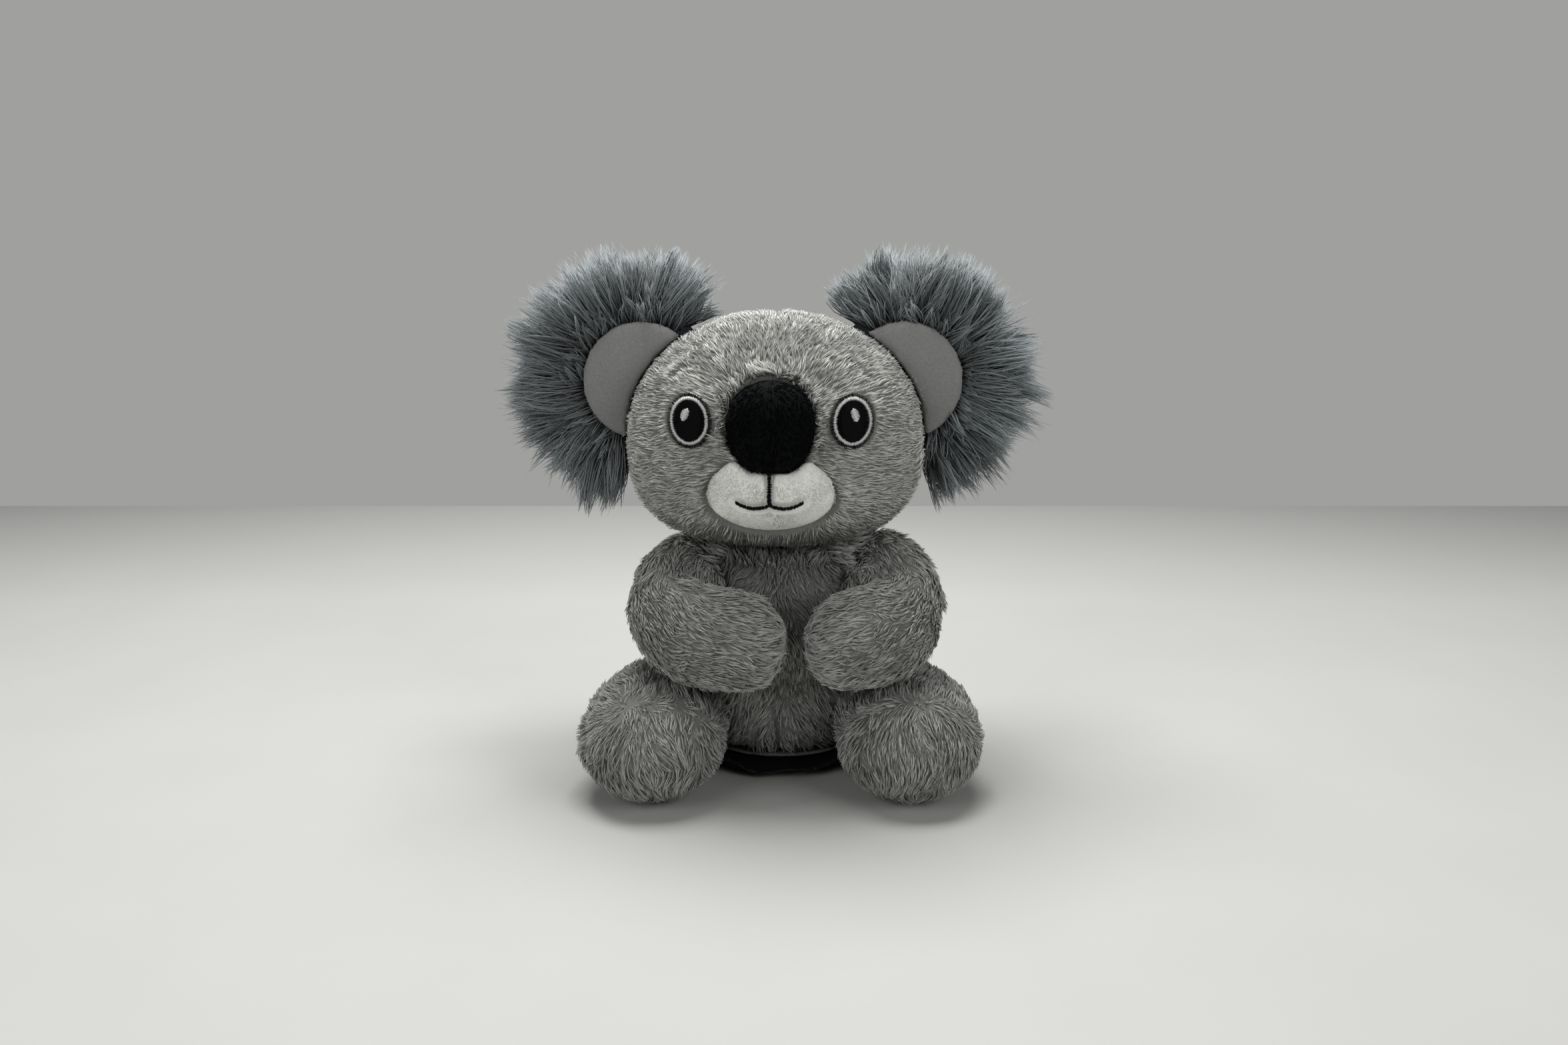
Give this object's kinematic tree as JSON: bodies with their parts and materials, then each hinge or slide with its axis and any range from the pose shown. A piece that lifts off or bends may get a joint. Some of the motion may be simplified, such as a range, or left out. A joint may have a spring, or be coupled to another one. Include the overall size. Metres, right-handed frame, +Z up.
{
  "type": "shoulder plush koala",
  "caption": "Seated stuffed koala with furry round ears, a padded nose and stitched face, held by magnets in its seat to a cloth covered steel plate.",
  "frame": {"origin": "middle of the plate pouch's flat underside, on the surface that the koala sits on", "axes": "+Z up out of the plate, -Y the way the koala faces, +X to the koala's left"},
  "size_m": [0.1696, 0.0922, 0.1697],
  "materials": {
    "grey_plush": "short soft pile, lit tips over darker roots",
    "ear_plush": "very short smooth pile",
    "long_fur": "long slate faux fur, dark roots and pale tips",
    "black_plush": "short black pile",
    "white_plush": "short white pile",
    "black_thread": "satin stitch",
    "white_thread": "satin stitch",
    "stuffing": "polyester fibre",
    "pouch_cloth": "plain woven lining",
    "pad_cloth": "smooth black cloth",
    "plate_steel": "plated sheet",
    "magnet": "nickel plated"
  },
  "bodies": {
    "torso": {"torso_shell": "grey_plush", "torso_filling": "stuffing", "base_patch": "grey_plush", "magnet_pouch": "pouch_cloth", "right_magnet": "magnet", "left_magnet": "magnet"},
    "head": {"head_shell": "grey_plush", "head_filling": "stuffing", "nose_filling": "stuffing", "muzzle_filling": "stuffing", "right_ear_filling": "stuffing", "left_ear_filling": "stuffing", "nose_cover": "black_plush", "muzzle_cover": "white_plush", "mouth_stitch": "black_thread", "right_ear_fur": "long_fur", "right_ear_lining": "ear_plush", "right_brow_stitch": "black_thread", "right_eye_outline": "black_thread", "right_eye_ring": "white_thread", "right_eye_pupil": "black_thread", "right_eye_glint": "white_thread", "left_ear_fur": "long_fur", "left_ear_lining": "ear_plush", "left_brow_stitch": "black_thread", "left_eye_outline": "black_thread", "left_eye_ring": "white_thread", "left_eye_pupil": "black_thread", "left_eye_glint": "white_thread"},
    "right_arm": {"right_arm_shell": "grey_plush", "right_arm_filling": "stuffing"},
    "right_leg": {"right_leg_shell": "grey_plush", "right_leg_filling": "stuffing"},
    "left_arm": {"left_arm_shell": "grey_plush", "left_arm_filling": "stuffing"},
    "left_leg": {"left_leg_shell": "grey_plush", "left_leg_filling": "stuffing"},
    "plate": {"plate_cover": "pad_cloth", "steel_plate": "plate_steel"}
  },
  "joints": [
    {"name": "head_turn", "type": "hinge", "parent": "torso", "child": "head", "pos_m": [-0.001, -0.003, 0.08], "axis": [0, 0, 1], "range_deg": [-15, 15], "stiffness_Nm_per_rad": 0.05},
    {"name": "right_arm_raise", "type": "hinge", "parent": "torso", "child": "right_arm", "pos_m": [-0.025, -0.004, 0.065], "axis": [-1, 0, 0], "range_deg": [0, 15], "stiffness_Nm_per_rad": 0.05},
    {"name": "left_arm_raise", "type": "hinge", "parent": "torso", "child": "left_arm", "pos_m": [0.028, -0.004, 0.065], "axis": [-1, 0, 0], "range_deg": [0, 15], "stiffness_Nm_per_rad": 0.05},
    {"name": "right_leg_splay", "type": "hinge", "parent": "torso", "child": "right_leg", "pos_m": [-0.0242, -0.009, 0.0182], "axis": [0, 0, -1], "range_deg": [0, 15], "stiffness_Nm_per_rad": 0.05},
    {"name": "left_leg_splay", "type": "hinge", "parent": "torso", "child": "left_leg", "pos_m": [0.0258, -0.009, 0.0182], "axis": [0, 0, 1], "range_deg": [0, 15], "stiffness_Nm_per_rad": 0.05},
    {"name": "plate_pull", "type": "slide", "parent": "torso", "child": "plate", "axis": [0, 0, -1], "range_m": [0, 0.03], "stiffness_N_per_m": 150}
  ]
}
